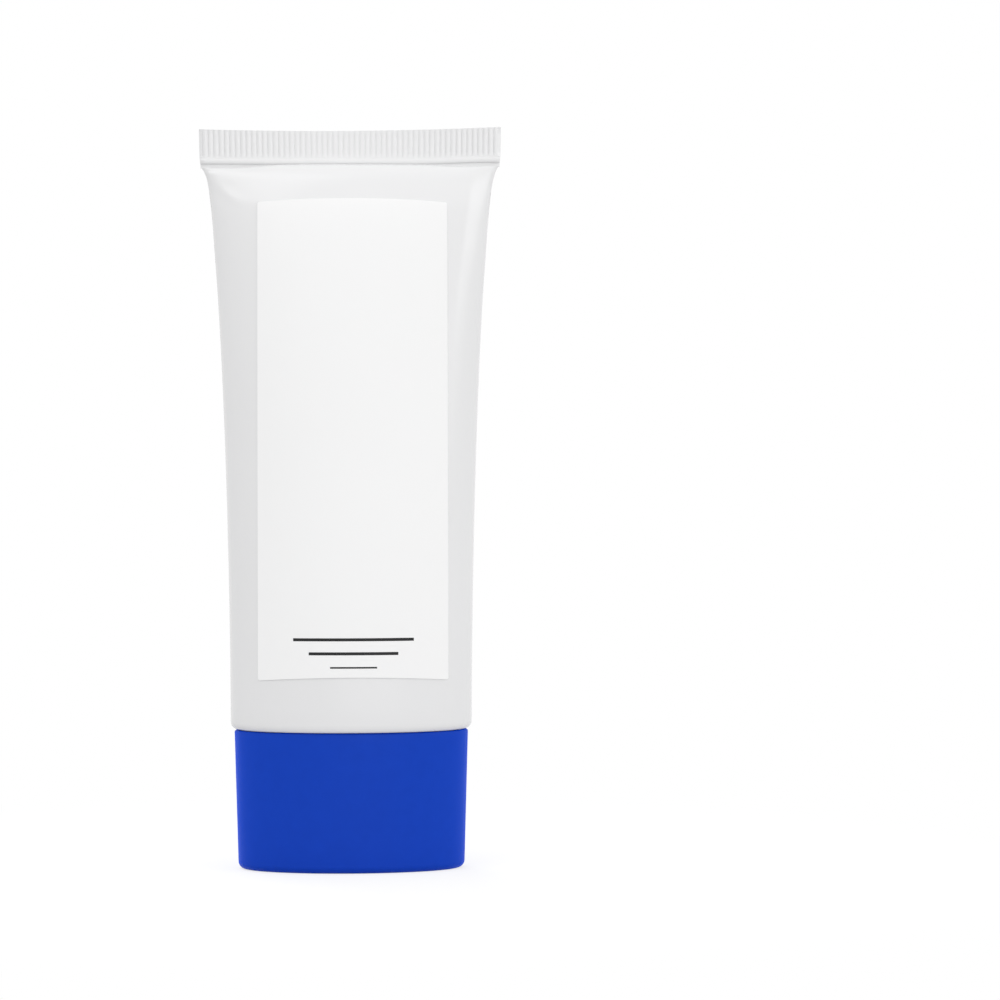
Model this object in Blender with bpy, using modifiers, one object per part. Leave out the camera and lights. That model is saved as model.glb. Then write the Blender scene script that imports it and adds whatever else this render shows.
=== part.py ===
"""Sunscreen tube: an oval squeeze tube that stands upright on its screw cap.

The tube's front faces -Y and the origin is the centre of the cap's flat end. The sleeve is a plastic
hose of one girth from end to end: oval where the shoulder plate holds it open, and pressed flat where
the far end is sealed in a ribbed crimp. Its width at each height follows from that girth.
"""

import math

import bmesh
import bpy
from mathutils import Matrix

MM = 0.001

# Shared values
CLEARANCE = 0.3 * MM
OVERRUN = 1.0 * MM
MERGE_DISTANCE = 0.001 * MM
SMOOTH_ANGLE = math.radians(35)
RING_POINTS = 64
ROUND_POINTS = 48

# Outer cap
CAP_HEIGHT = 25.0 * MM
CAP_SETBACK = 0.7 * MM
CAP_WALL = 1.3 * MM
CAP_DRAFT = 0.7 * MM
CAP_EDGE_RADIUS = 1.3 * MM
CAP_EDGE_SEGMENTS = 5

# Sleeve
SLEEVE_GIRTH = 110.0 * MM
SLEEVE_LENGTH = 103.0 * MM
SLEEVE_HALF_DEPTH = 12.4 * MM
SLEEVE_WALL = 0.5 * MM
SLEEVE_CORNER_RADIUS = 1.5 * MM
SLEEVE_LIP_WIDTH = 3.0 * MM
CORNER_STEPS = 4
OUTER_STEPS = 16
INNER_STEPS = 8
RING_CROWDING_SHARE = 2.2
FLATTENING_SHARE = 1.7
PILLOW_SHARE = 0.3
ROOF_SHARE = 0.985

# Crimped seal at the sleeve's far end
CRIMP_BEAD_HEIGHT = 1.3 * MM
CRIMP_BEAD_THICKNESS = 1.5 * MM
CRIMP_BEAD_SINK = 0.3 * MM
CRIMP_BEAD_SIDES = 16
CRIMP_RIB_HEIGHT = 5.7 * MM
CRIMP_THICKNESS = 1.1 * MM
CRIMP_RIB_PITCH = 0.98 * MM
CRIMP_RIB_DEPTH = 0.2 * MM
RIB_FOOT_SHARE = 0.75
RIB_TOP_SHARE = 0.4

# Shoulder plate, neck and orifice
SHOULDER_THICKNESS = 2.0 * MM
NECK_RADIUS = 6.0 * MM
NECK_LENGTH = 9.0 * MM
NECK_CHAMFER = 0.5 * MM
NECK_COLLAR_RADIUS = 6.9 * MM
NECK_COLLAR_HEIGHT = 1.2 * MM
ORIFICE_RADIUS = 2.5 * MM

# Foil seal on the neck's end
FOIL_THICKNESS = 0.15 * MM
FOIL_INSET = 0.1 * MM
TAB_INSET = 0.9 * MM
TAB_OFFSET = 0.6 * MM

# Foam wad and screw socket inside the cap
LINER_THICKNESS = 1.2 * MM
LINER_EDGE_RADIUS = 0.2 * MM
SOCKET_ROOM = 1.1 * MM
SOCKET_WALL = 1.2 * MM
SOCKET_WEB = 1.2 * MM
SOCKET_SETBACK = 2.5 * MM
CROSS_RIB_THICKNESS = 1.4 * MM

# Label on the front, between a margin above the shoulder and one below the crimp
LABEL_WIDTH = 34.4 * MM
LABEL_FOOT = 9.3 * MM
LABEL_HEAD = 7.5 * MM
LABEL_HEIGHT = SLEEVE_LENGTH - LABEL_FOOT - LABEL_HEAD
LABEL_BOW = 0.6 * MM
LABEL_THICKNESS = 0.15 * MM
LABEL_GAP = 0.25 * MM
LABEL_COLUMNS = 20
LABEL_ROWS = 18

# Lotion
FILL_SHARE = 0.66
LOTION_STEPS = 10

# Colours: red, green, blue
WHITE_PLASTIC = (0.83, 0.83, 0.84)
BLUE_PLASTIC = (0.012, 0.056, 0.456)
LABEL_WHITE = (0.90, 0.90, 0.90)
FOIL_SILVER = (0.75, 0.76, 0.78)
FOAM_WHITE = (0.86, 0.86, 0.84)
LOTION_CREAM = (0.90, 0.86, 0.76)


def clear_scene():
    for old in list(bpy.data.objects):
        bpy.data.objects.remove(old, do_unlink=True)


def new_collection(name):
    collection = bpy.data.collections.new(name)
    bpy.context.scene.collection.children.link(collection)
    return collection


def new_material(name, color, roughness, metallic=0.0):
    material = bpy.data.materials.new(name)
    material.use_nodes = True
    shader = material.node_tree.nodes["Principled BSDF"]
    shader.inputs["Base Color"].default_value = (*color, 1.0)
    shader.inputs["Roughness"].default_value = roughness
    shader.inputs["Metallic"].default_value = metallic
    return material


def object_from_bmesh(name, shape, collection):
    """Turn a bmesh into a smooth-shaded object of the collection."""
    bmesh.ops.recalc_face_normals(shape, faces=shape.faces[:])
    mesh = bpy.data.meshes.new(name)
    shape.to_mesh(mesh)
    shape.free()
    mesh.shade_smooth()
    mesh.set_sharp_from_angle(angle=SMOOTH_ANGLE)
    made = bpy.data.objects.new(name, mesh)
    collection.objects.link(made)
    return made


def finish(piece, holder, height, material):
    """Hang the piece on its empty, lift it to its height and give it its material."""
    piece.parent = holder
    piece.location.z = height
    piece.data.materials.clear()
    piece.data.materials.append(material)


def add_boolean(piece, tool, operation, height):
    """Join or cut the piece with a hidden tool, which stands at the same height."""
    tool.location.z = height
    tool.hide_render = True
    tool.display_type = "WIRE"
    modifier = piece.modifiers.new(tool.name, "BOOLEAN")
    modifier.object = tool
    modifier.operation = operation
    modifier.solver = "EXACT"


def oval_girth(half_width, half_depth):
    """Girth of an ellipse, by Ramanujan's formula."""
    both = half_width + half_depth
    cross = math.sqrt((3 * half_width + half_depth) * (half_width + 3 * half_depth))
    return math.pi * (3 * both - cross)


def half_width_of(half_depth):
    """Half-width of the oval that keeps the sleeve's girth at this half-depth."""
    low = 0.0
    high = SLEEVE_GIRTH / 2
    while high - low > MERGE_DISTANCE / 2:
        middle = (low + high) / 2
        if oval_girth(middle, half_depth) > SLEEVE_GIRTH:
            high = middle
        else:
            low = middle
    return (low + high) / 2


def sleeve_section(share):
    """Half-width and half-depth of the sleeve, from 0 at the shoulder to 1 at the crimp."""
    swell = max(1.0 - share ** FLATTENING_SHARE, 0.0) ** PILLOW_SHARE
    least = CRIMP_THICKNESS / 2 - CRIMP_RIB_DEPTH
    half_depth = max(SLEEVE_HALF_DEPTH * swell, least)
    return half_width_of(half_depth), half_depth


def oval_ring(half_width, half_depth, height):
    """Points of an oval, level at a height."""
    angles = [math.tau * step / RING_POINTS for step in range(RING_POINTS)]
    return [(half_width * math.cos(a), half_depth * math.sin(a), height) for a in angles]


def loft(name, rings, collection):
    """Closed skin through rings of equal point count, with a flat face on each end ring."""
    shape = bmesh.new()
    loops = [[shape.verts.new(point) for point in ring] for ring in rings]
    for lower, upper in zip(loops, loops[1:]):
        for start in range(len(lower)):
            end = (start + 1) % len(lower)
            shape.faces.new((lower[start], lower[end], upper[end], upper[start]))
    shape.faces.new(loops[0])
    shape.faces.new(loops[-1])
    return object_from_bmesh(name, shape, collection)


def oval_block(name, half_width, half_depth, low, high, collection, draft=0.0):
    """Straight or tapering oval block, from a cone primitive; draft is what its foot loses."""
    shape = bmesh.new()
    bmesh.ops.create_cone(
        shape,
        cap_ends=True,
        segments=RING_POINTS,
        radius1=half_width - draft,
        radius2=half_width,
        depth=high - low,
    )
    flatten = Matrix.Diagonal((1.0, half_depth / half_width, 1.0, 1.0))
    lift = Matrix.Translation((0.0, 0.0, (low + high) / 2))
    bmesh.ops.transform(shape, matrix=lift @ flatten, verts=shape.verts[:])
    return object_from_bmesh(name, shape, collection)


def box(name, size_x, size_y, low, high, collection):
    """Upright box centred on the tube's axis."""
    shape = bmesh.new()
    bmesh.ops.create_cube(shape, size=1.0)
    place = Matrix.Translation((0.0, 0.0, (low + high) / 2))
    stretch = Matrix.Diagonal((size_x, size_y, high - low, 1.0))
    bmesh.ops.transform(shape, matrix=place @ stretch, verts=shape.verts[:])
    return object_from_bmesh(name, shape, collection)


def rod(name, length, thickness, height, middle, collection):
    """Level rod along X with an oval section, centred on a height."""
    shape = bmesh.new()
    bmesh.ops.create_cone(
        shape, cap_ends=True, segments=CRIMP_BEAD_SIDES, radius1=0.5, radius2=0.5, depth=1.0
    )
    lay = Matrix.Rotation(math.pi / 2, 4, "Y")
    stretch = Matrix.Diagonal((length, thickness, height, 1.0))
    place = Matrix.Translation((0.0, 0.0, middle))
    bmesh.ops.transform(shape, matrix=place @ stretch @ lay, verts=shape.verts[:])
    return object_from_bmesh(name, shape, collection)


def turned(name, profile, collection):
    """Solid of revolution about Z, from a profile of (radius, height) points that ends on the axis."""
    mesh = bpy.data.meshes.new(name)
    points = [(radius, 0.0, height) for radius, height in profile]
    edges = [(step, step + 1) for step in range(len(points) - 1)]
    mesh.from_pydata(points, edges, [])
    made = bpy.data.objects.new(name, mesh)
    collection.objects.link(made)
    screw = made.modifiers.new("turn", "SCREW")
    screw.axis = "Z"
    screw.steps = ROUND_POINTS
    screw.render_steps = ROUND_POINTS
    screw.use_merge_vertices = True
    screw.merge_threshold = MERGE_DISTANCE
    screw.use_smooth_shade = True
    return made


def extruded(name, outline, low, high, collection):
    """Flat outline of (x, y) points, raised from one height to another, as a welded mesh."""
    curve = bpy.data.curves.new(name, "CURVE")
    curve.dimensions = "2D"
    curve.fill_mode = "BOTH"
    curve.extrude = (high - low) / 2
    line = curve.splines.new("POLY")
    line.points.add(len(outline) - 1)
    for point, (x, y) in zip(line.points, outline):
        point.co = (x, y, 0.0, 1.0)
    line.use_cyclic_u = True
    drawn = bpy.data.objects.new(name + "_outline", curve)
    collection.objects.link(drawn)
    bpy.context.view_layer.update()
    ready = drawn.evaluated_get(bpy.context.evaluated_depsgraph_get())
    mesh = bpy.data.meshes.new_from_object(ready)
    shape = bmesh.new()
    shape.from_mesh(mesh)
    bmesh.ops.remove_doubles(shape, verts=shape.verts[:], dist=MERGE_DISTANCE)
    bmesh.ops.translate(shape, verts=shape.verts[:], vec=(0.0, 0.0, (low + high) / 2))
    bpy.data.objects.remove(drawn, do_unlink=True)
    bpy.data.meshes.remove(mesh)
    return object_from_bmesh(name, shape, collection)


def corner_rings(half_width, half_depth, radius, centre_radius):
    """Rings of the rounded lower corner, from its level foot to its upright side."""
    rings = []
    for step in range(CORNER_STEPS + 1):
        turn = math.pi / 2 * step / CORNER_STEPS
        drawn_in = centre_radius - radius * math.sin(turn)
        height = centre_radius - radius * math.cos(turn)
        rings.append(oval_ring(half_width - drawn_in, half_depth - drawn_in, height))
    return rings


def wall_rings(steps, wall, top_share):
    """Rings up the sleeve's side, closer together towards the crimp, set in by the wall."""
    foot_share = SLEEVE_CORNER_RADIUS / SLEEVE_LENGTH
    rings = []
    for step in range(1, steps + 1):
        rise = 1.0 - (1.0 - step / steps) ** RING_CROWDING_SHARE
        share = foot_share + (top_share - foot_share) * rise
        half_width, half_depth = sleeve_section(share)
        rings.append(oval_ring(half_width - wall, half_depth - wall, share * SLEEVE_LENGTH))
    return rings


def crimp_sections(low, high):
    """Upright sections along the crimp, whose thickness rises and falls with its ribs."""
    half_width = SLEEVE_GIRTH / 4
    crest = CRIMP_THICKNESS / 2
    valley = crest - CRIMP_RIB_DEPTH
    count = round(SLEEVE_GIRTH / 2 / CRIMP_RIB_PITCH)
    pitch = SLEEVE_GIRTH / 2 / count
    profile = [(-half_width, valley)]
    for rib in range(count):
        middle = (rib + 0.5) * pitch - half_width
        for side in (-1, 1):
            foot = (middle + side * pitch * RIB_FOOT_SHARE / 2, valley)
            top = (middle + side * pitch * RIB_TOP_SHARE / 2, crest)
            profile += [foot, top] if side < 0 else [top, foot]
    profile.append((half_width, valley))
    return [[(x, -y, low), (x, y, low), (x, y, high), (x, -y, high)] for x, y in profile]


def make_sleeve(parts, cutters, holder, material, height):
    half_width, half_depth = sleeve_section(0.0)
    lip_width = half_width - SLEEVE_LIP_WIDTH
    lip_depth = half_depth - SLEEVE_LIP_WIDTH
    inner_radius = SLEEVE_CORNER_RADIUS - SLEEVE_WALL

    outside = [oval_ring(lip_width, lip_depth, 0.0)]
    outside += corner_rings(half_width, half_depth, SLEEVE_CORNER_RADIUS, SLEEVE_CORNER_RADIUS)
    outside += wall_rings(OUTER_STEPS, 0.0, 1.0)
    top_width, top_depth = sleeve_section(1.0)
    bead_high = SLEEVE_LENGTH + CRIMP_BEAD_HEIGHT - CRIMP_BEAD_SINK
    bead_middle = bead_high - CRIMP_BEAD_HEIGHT / 2
    outside.append(oval_ring(top_width - OVERRUN, top_depth, bead_middle))

    inside = [oval_ring(lip_width, lip_depth, SLEEVE_WALL)]
    inside += corner_rings(half_width, half_depth, inner_radius, SLEEVE_CORNER_RADIUS)
    inside += wall_rings(INNER_STEPS, SLEEVE_WALL, ROOF_SHARE)

    sleeve = loft("sleeve", outside[::-1] + inside, parts)
    ribs = loft("crimp_ribs", crimp_sections(bead_middle, bead_high + CRIMP_RIB_HEIGHT), cutters)
    bead = rod(
        "crimp_bead",
        SLEEVE_GIRTH / 2,
        CRIMP_BEAD_THICKNESS,
        CRIMP_BEAD_HEIGHT,
        bead_middle,
        cutters,
    )
    add_boolean(sleeve, bead, "UNION", height)
    add_boolean(sleeve, ribs, "UNION", height)
    finish(sleeve, holder, height, material)


def make_shoulder_head(parts, cutters, holder, material, height):
    """Oval plate that holds the sleeve open, stepped down through its lip, with the neck below."""
    half_width, half_depth = sleeve_section(0.0)
    inset = max(SLEEVE_WALL, SLEEVE_CORNER_RADIUS) + CLEARANCE
    lip_inset = SLEEVE_LIP_WIDTH + CLEARANCE
    plate_low = SLEEVE_WALL + CLEARANCE
    plate_high = plate_low + SHOULDER_THICKNESS

    head = oval_block(
        "shoulder_head", half_width - inset, half_depth - inset, plate_low, plate_high, parts
    )
    step_down = oval_block(
        "shoulder_step",
        half_width - lip_inset,
        half_depth - lip_inset,
        0.0,
        plate_low + SHOULDER_THICKNESS / 2,
        cutters,
    )
    neck = turned(
        "neck",
        [
            (0.0, plate_low + SHOULDER_THICKNESS / 2),
            (NECK_COLLAR_RADIUS, plate_low + SHOULDER_THICKNESS / 2),
            (NECK_COLLAR_RADIUS, -NECK_COLLAR_HEIGHT),
            (NECK_RADIUS, -NECK_COLLAR_HEIGHT),
            (NECK_RADIUS, NECK_CHAMFER - NECK_LENGTH),
            (NECK_RADIUS - NECK_CHAMFER, -NECK_LENGTH),
            (0.0, -NECK_LENGTH),
        ],
        cutters,
    )
    orifice = turned(
        "orifice",
        [
            (0.0, plate_high + OVERRUN),
            (ORIFICE_RADIUS, plate_high + OVERRUN),
            (ORIFICE_RADIUS, -NECK_LENGTH - OVERRUN),
            (0.0, -NECK_LENGTH - OVERRUN),
        ],
        cutters,
    )
    add_boolean(head, step_down, "UNION", height)
    add_boolean(head, neck, "UNION", height)
    add_boolean(head, orifice, "DIFFERENCE", height)
    finish(head, holder, height, material)


def make_foil_seal(parts, cutters, holder, material, height):
    """Foil disc with its half-moon tab folded flat on its outer face; height is the disc's top."""
    radius = NECK_RADIUS - NECK_CHAMFER - FOIL_INSET
    disc = turned(
        "foil_seal",
        [(0.0, 0.0), (radius, 0.0), (radius, -FOIL_THICKNESS), (0.0, -FOIL_THICKNESS)],
        parts,
    )
    tab_radius = radius - TAB_INSET
    first = math.asin(TAB_OFFSET / tab_radius)
    sweep = math.pi - 2 * first
    arc = [first + sweep * step / ROUND_POINTS for step in range(ROUND_POINTS + 1)]
    half_moon = [(tab_radius * math.cos(a), tab_radius * math.sin(a)) for a in arc]
    tab = extruded("foil_tab", half_moon, -2 * FOIL_THICKNESS, -FOIL_THICKNESS / 2, cutters)
    add_boolean(disc, tab, "UNION", height)
    finish(disc, holder, height, material)


def make_cap_liner(parts, holder, material, height):
    """Foam wad; height is its lower face."""
    radius = NECK_RADIUS + SOCKET_ROOM - CLEARANCE
    edge = LINER_EDGE_RADIUS
    liner = turned(
        "cap_liner",
        [
            (0.0, LINER_THICKNESS),
            (radius - edge, LINER_THICKNESS),
            (radius, LINER_THICKNESS - edge),
            (radius, edge),
            (radius - edge, 0.0),
            (0.0, 0.0),
        ],
        parts,
    )
    finish(liner, holder, height, material)


def make_cap_insert(parts, cutters, holder, material, web_top, cap_half_depth):
    """Screw socket on upright cross ribs, which stand on the cap's end and meet its long sides."""
    bore = NECK_RADIUS + SOCKET_ROOM
    outer = bore + SOCKET_WALL
    mouth = CAP_HEIGHT - SOCKET_SETBACK
    web_low = web_top - SOCKET_WEB
    floor = CAP_WALL + CLEARANCE
    reach = cap_half_depth - CAP_DRAFT - CAP_WALL - CLEARANCE

    insert = turned(
        "cap_insert",
        [
            (0.0, web_top),
            (bore, web_top),
            (bore, mouth),
            (outer, mouth),
            (outer, web_low),
            (0.0, web_low),
        ],
        parts,
    )
    lower_rib = box(
        "side_rib", 2 * outer, CROSS_RIB_THICKNESS, floor, web_low + SOCKET_WEB / 2, cutters
    )
    long_rib = box(
        "front_rib", CROSS_RIB_THICKNESS, 2 * reach, floor, web_low + SOCKET_WEB / 2, cutters
    )
    add_boolean(insert, lower_rib, "UNION", 0.0)
    add_boolean(insert, long_rib, "UNION", 0.0)
    finish(insert, holder, 0.0, material)


def make_cap_shell(parts, holder, material, half_width, half_depth):
    """Oval cup, from a tapering block with its upper face open, rounded at the end and thickened."""
    cap = oval_block(
        "cap_shell", half_width, half_depth, 0.0, CAP_HEIGHT, parts, draft=CAP_DRAFT
    )
    shape = bmesh.new()
    shape.from_mesh(cap.data)
    shape.faces.ensure_lookup_table()
    open_face = max(shape.faces, key=lambda face: face.calc_center_median().z)
    bmesh.ops.delete(shape, geom=[open_face], context="FACES_ONLY")
    shape.to_mesh(cap.data)
    shape.free()
    rounding = cap.modifiers.new("rounded end", "BEVEL")
    rounding.width = CAP_EDGE_RADIUS
    rounding.segments = CAP_EDGE_SEGMENTS
    rounding.limit_method = "ANGLE"
    rounding.angle_limit = SMOOTH_ANGLE
    thickness = cap.modifiers.new("wall", "SOLIDIFY")
    thickness.thickness = CAP_WALL
    thickness.offset = -1.0
    thickness.use_even_offset = True
    finish(cap, holder, 0.0, material)


def make_front_label(parts, holder, material, height):
    """Thin skin over the sleeve's front, its long edges upright and its short ones bowed up."""
    shape = bmesh.new()
    rows = []
    for row in range(LABEL_ROWS + 1):
        points = []
        for column in range(LABEL_COLUMNS + 1):
            across = 2 * column / LABEL_COLUMNS - 1
            x = across * LABEL_WIDTH / 2
            z = LABEL_FOOT + LABEL_HEIGHT * row / LABEL_ROWS + LABEL_BOW * (1 - across ** 2)
            half_width, half_depth = sleeve_section(z / SLEEVE_LENGTH)
            half_width += LABEL_GAP
            half_depth += LABEL_GAP
            y = -half_depth * math.sqrt(1 - (x / half_width) ** 2)
            points.append(shape.verts.new((x, y, z)))
        rows.append(points)
    for lower, upper in zip(rows, rows[1:]):
        for left in range(LABEL_COLUMNS):
            shape.faces.new((lower[left], lower[left + 1], upper[left + 1], upper[left]))
    label = object_from_bmesh("front_label", shape, parts)
    thickness = label.modifiers.new("paper", "SOLIDIFY")
    thickness.thickness = LABEL_THICKNESS
    thickness.offset = 1.0
    finish(label, holder, height, material)


def make_lotion(parts, holder, material, height):
    """Lotion that fills the orifice and the lower part of the sleeve, a clearance off the walls."""
    column = ORIFICE_RADIUS - CLEARANCE
    level_low = SLEEVE_WALL + SHOULDER_THICKNESS + 2 * CLEARANCE
    level_high = SLEEVE_LENGTH * FILL_SHARE
    inset = SLEEVE_WALL + CLEARANCE
    rings = [oval_ring(column, column, CLEARANCE - NECK_LENGTH), oval_ring(column, column, level_low)]
    for step in range(LOTION_STEPS + 1):
        level = level_low + (level_high - level_low) * step / LOTION_STEPS
        half_width, half_depth = sleeve_section(level / SLEEVE_LENGTH)
        rings.append(oval_ring(half_width - inset, half_depth - inset, level))
    lotion = loft("lotion", rings, parts)
    finish(lotion, holder, height, material)


def make_tube():
    clear_scene()
    parts = new_collection("sunscreen_tube")
    cutters = new_collection("cutters")
    holders = {}
    for name in ("tube_body", "liner_body", "cap_body"):
        holders[name] = bpy.data.objects.new(name, None)
        parts.objects.link(holders[name])

    white = new_material("white_plastic", WHITE_PLASTIC, 0.35)
    blue = new_material("blue_plastic", BLUE_PLASTIC, 0.45)
    paper = new_material("label_white", LABEL_WHITE, 0.5)
    foil = new_material("foil", FOIL_SILVER, 0.3, 1.0)
    foam = new_material("foam", FOAM_WHITE, 0.8)
    cream = new_material("lotion", LOTION_CREAM, 0.4)

    seam = CAP_HEIGHT + CLEARANCE
    neck_end = seam - NECK_LENGTH
    foil_top = neck_end - CLEARANCE
    liner_low = foil_top - 2 * FOIL_THICKNESS - CLEARANCE - LINER_THICKNESS
    web_top = liner_low - CLEARANCE
    half_width, half_depth = sleeve_section(0.0)
    cap_half_width = half_width - CAP_SETBACK
    cap_half_depth = half_depth - CAP_SETBACK

    make_sleeve(parts, cutters, holders["tube_body"], white, seam)
    make_shoulder_head(parts, cutters, holders["tube_body"], white, seam)
    make_foil_seal(parts, cutters, holders["tube_body"], foil, foil_top)
    make_front_label(parts, holders["tube_body"], paper, seam)
    make_lotion(parts, holders["tube_body"], cream, seam)
    make_cap_liner(parts, holders["liner_body"], foam, liner_low)
    make_cap_insert(parts, cutters, holders["cap_body"], white, web_top, cap_half_depth)
    make_cap_shell(parts, holders["cap_body"], blue, cap_half_width, cap_half_depth)


make_tube()
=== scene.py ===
# %% [markdown]
# # A sunscreen tube, dressed
# The frame below is the tube's engineering model: eight solids at their real size, on three bodies that
# turn and slide when the cap is unscrewed. This notebook gives them their looks. It first reads the
# frame and keeps its box, so that the end of the notebook can show that nothing grew.

# %% Load the frame
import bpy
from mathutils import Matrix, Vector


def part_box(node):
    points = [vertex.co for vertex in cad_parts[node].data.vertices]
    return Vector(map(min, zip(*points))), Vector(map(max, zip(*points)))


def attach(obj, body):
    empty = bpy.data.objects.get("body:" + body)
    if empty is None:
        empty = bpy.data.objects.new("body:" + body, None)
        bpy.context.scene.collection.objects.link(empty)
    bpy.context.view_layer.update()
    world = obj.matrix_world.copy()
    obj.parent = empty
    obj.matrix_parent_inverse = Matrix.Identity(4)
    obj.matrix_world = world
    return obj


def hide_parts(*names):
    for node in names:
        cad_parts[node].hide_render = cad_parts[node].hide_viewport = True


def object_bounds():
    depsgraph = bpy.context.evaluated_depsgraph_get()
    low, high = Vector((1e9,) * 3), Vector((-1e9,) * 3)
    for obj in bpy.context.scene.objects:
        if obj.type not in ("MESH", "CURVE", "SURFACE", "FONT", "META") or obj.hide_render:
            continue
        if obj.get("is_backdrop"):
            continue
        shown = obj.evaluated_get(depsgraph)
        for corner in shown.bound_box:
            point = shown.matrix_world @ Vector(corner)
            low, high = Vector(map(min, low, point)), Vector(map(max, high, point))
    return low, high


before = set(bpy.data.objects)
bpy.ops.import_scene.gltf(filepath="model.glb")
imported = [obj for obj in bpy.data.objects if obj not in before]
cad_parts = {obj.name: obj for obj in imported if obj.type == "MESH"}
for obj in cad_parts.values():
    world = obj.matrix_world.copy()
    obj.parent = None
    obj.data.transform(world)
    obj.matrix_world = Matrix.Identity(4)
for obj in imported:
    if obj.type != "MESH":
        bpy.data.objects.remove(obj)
cad_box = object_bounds()

# %% Tools of this notebook
import math

import bmesh
import bpy
from mathutils import Matrix, Vector

MM = 0.001
TINY = 1e-7


def add_object(name, data):
    """New object with this data, linked into the scene."""
    made = bpy.data.objects.new(name, data)
    bpy.context.scene.collection.objects.link(made)
    return made


# %% [markdown]
# ## The photographer's side
# A product photo of this kind is taken from far off with a long lens, level with the middle of the
# object, so that its sides stay nearly parallel. The tube stands left of the picture's centre, so the
# camera pans a little to the right. Panning keeps the perspective of the photo, which moving the camera
# sideways would change. A small roll gives the slight lean that the tube has there.

# %% Camera
PICTURE_WIDTH = 1000
PIXELS_PER_MM = 5.48
CAMERA_DISTANCE = 590.0 * MM
CAMERA_HEIGHT = 66.9 * MM
TUBE_LEFT_OF_CENTRE = 149.0
CAMERA_ROLL = math.radians(0.12)
SENSOR_WIDTH = 36.0
NEAR_LIMIT = 10.0 * MM

focal_pixels = PIXELS_PER_MM * CAMERA_DISTANCE / MM
pan = math.atan(TUBE_LEFT_OF_CENTRE / focal_pixels)
lens = bpy.data.cameras.new("camera")
lens.sensor_width = SENSOR_WIDTH
lens.lens = focal_pixels / PICTURE_WIDTH * SENSOR_WIDTH
lens.clip_start = NEAR_LIMIT
camera = add_object("camera", lens)
upright = Matrix.Rotation(math.pi / 2, 4, "X")
turn = Matrix.Rotation(-pan, 4, "Z")
lean = Matrix.Rotation(-CAMERA_ROLL, 4, "Z")
stand = Matrix.Translation((0.0, -CAMERA_DISTANCE, CAMERA_HEIGHT))
camera.matrix_world = stand @ turn @ upright @ lean
bpy.context.scene.camera = camera
print(f"lens {lens.lens:.1f} mm, panned {math.degrees(pan):.2f} degrees")

# %% [markdown]
# ## Light
# The photo has no hard shadow anywhere. Its left flank is a little darker than its right one, and the
# roof under the crimp is the brightest, most of all on its left half. A narrow brighter band runs down
# the right flank and the cap under it, the soft reflection of an upright lamp. An even world gives most
# of the light. Four lamps add the rest: a square one high on the left for the roof, the upright one on
# the right, a square one low in front, and a square one behind for the edges and the back. All are kept
# so low that white plastic stays below white paper.

# %% Lamps
AIM = Vector((0.0, 0.0, 70.0 * MM))
LAMP_SIDE = 1.0


def softbox(name, place, power, width=LAMP_SIDE, height=LAMP_SIDE):
    """Soft lamp that looks at the tube's middle."""
    lamp = bpy.data.lights.new(name, "AREA")
    lamp.shape = "RECTANGLE"
    lamp.size = width
    lamp.size_y = height
    lamp.energy = power
    holder = add_object(name, lamp)
    holder.location = place
    holder.rotation_euler = (AIM - Vector(place)).to_track_quat("-Z", "Y").to_euler()


softbox("high_left", (-0.60, -0.70, 1.20), 4.0)
softbox("upright_right", (1.25, -0.62, 0.66), 4.0, width=0.78, height=0.92)
softbox("low_front", (0.30, -1.50, 0.10), 3.8)
softbox("behind", (-0.50, 1.30, 0.90), 8.0)

# %% [markdown]
# The white of the background isn't made with more light. The world shows as plain white only to the
# camera, and to mirrors and glass, while it lights the tube at its own lower strength.

# %% Helpers: nodes and their links
def add_node(tree, kind, settings=(), values=(), **links):
    """Node with its settings, its typed-in values by socket name, and links by socket name."""
    node = tree.nodes.new(kind)
    for name, value in dict(settings).items():
        setattr(node, name, value)
    for name, value in dict(values).items():
        node.inputs[name].default_value = value
    for name, source in links.items():
        tree.links.new(source, node.inputs[name.replace("_", " ")])
    return node


def math_node(tree, operation, first, second):
    """Math node on two sockets or numbers."""
    node = tree.nodes.new("ShaderNodeMath")
    node.operation = operation
    for socket, value in zip(node.inputs, (first, second)):
        if isinstance(value, (int, float)):
            socket.default_value = value
        else:
            tree.links.new(value, socket)
    return node.outputs[0]


def object_place(tree):
    """Where a point lies in its own object, so that a pattern moves with the piece."""
    return add_node(tree, "ShaderNodeTexCoord").outputs["Object"]


def mix_shaders(tree, share, first, second):
    """Shader that is the first one at share 0 and the second one at 1."""
    node = tree.nodes.new("ShaderNodeMixShader")
    for socket, source in zip(node.inputs, (share, first, second)):
        tree.links.new(source, socket)
    return node.outputs[0]


# %% White background
WORLD_STRENGTH = 0.84
WHITE = (1.0, 1.0, 1.0, 1.0)
world = bpy.data.worlds.new("studio")
bpy.context.scene.world = world
world.use_nodes = True
tree = world.node_tree
tree.nodes.clear()


def seen_directly(tree):
    """1 for camera, glossy and transmission rays, 0 for the rays that carry soft light."""
    path = add_node(tree, "ShaderNodeLightPath").outputs
    seen = math_node(tree, "MAXIMUM", path["Is Camera Ray"], path["Is Glossy Ray"])
    return math_node(tree, "MAXIMUM", seen, path["Is Transmission Ray"])


soft_light = add_node(tree, "ShaderNodeBackground", values={"Color": WHITE, "Strength": WORLD_STRENGTH})
plain_white = add_node(tree, "ShaderNodeBackground", values={"Color": WHITE})
shown = mix_shaders(tree, seen_directly(tree), soft_light.outputs[0], plain_white.outputs[0])
add_node(tree, "ShaderNodeOutputWorld", Surface=shown)
bpy.context.scene.view_settings.view_transform = "Standard"
print("world strength on the tube:", WORLD_STRENGTH)

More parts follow.
